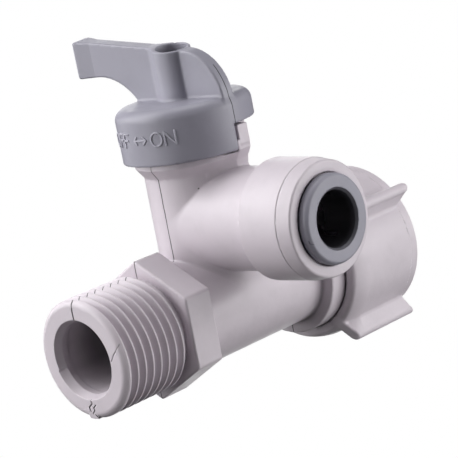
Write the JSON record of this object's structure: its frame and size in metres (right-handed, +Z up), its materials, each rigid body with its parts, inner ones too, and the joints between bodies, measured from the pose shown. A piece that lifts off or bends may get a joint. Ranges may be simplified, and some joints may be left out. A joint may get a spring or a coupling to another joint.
{
  "type": "splitter valve",
  "caption": "Plastic feed-water splitter valve: male thread, winged swivel nut, quarter-turn lever and a push-fit tube outlet.",
  "frame": {"origin": "where the run axis and the valve stem axis cross, in the middle of the straight waterway", "axes": "+X along the run from the male thread to the swivel nut, +Z up along the valve stem to the handle, -Y along the tube outlet"},
  "size_m": [0.0738, 0.0553, 0.0643],
  "materials": {
    "body_white": "satin moulded plastic, warm light grey-white",
    "nut_white": "satin moulded plastic, warm light grey-white",
    "cap_white": "satin moulded plastic, warm light grey-white",
    "inner_white": "moulded plastic",
    "handle_grey": "satin moulded plastic, cool mid grey",
    "collet_grey": "satin moulded plastic, cool mid grey",
    "seal_black": "black nitrile rubber",
    "washer_black": "low-friction plastic",
    "steel": "stainless steel"
  },
  "bodies": {
    "body": {"valve_body": "body_white", "nut_retaining_ring": "steel", "inlet_seal": "seal_black", "port_seat": "seal_black", "bonnet_ring": "inner_white", "socket_cap": "cap_white", "grab_ring": "steel", "tube_spacer": "inner_white", "tube_o_ring": "seal_black"},
    "lever": {"handle": "handle_grey", "handle_screw": "steel", "spindle": "inner_white", "spindle_o_ring_upper": "seal_black", "spindle_o_ring_lower": "seal_black", "thrust_washer": "washer_black"},
    "nut": {"swivel_nut": "nut_white"},
    "collet": {"tube_collet": "collet_grey"}
  },
  "joints": [
    {"name": "handle_turn", "type": "hinge", "parent": "body", "child": "lever", "pos_m": [0, 0, 0.03], "axis": [0, 0, -1], "range_deg": [0, 90]},
    {"name": "nut_swivel", "type": "hinge", "parent": "body", "child": "nut", "pos_m": [0.03, 0, 0], "axis": [1, 0, 0], "continuous": true},
    {"name": "collet_press", "type": "slide", "parent": "body", "child": "collet", "axis": [0, 1, 0], "range_m": [0, 0.001]}
  ]
}
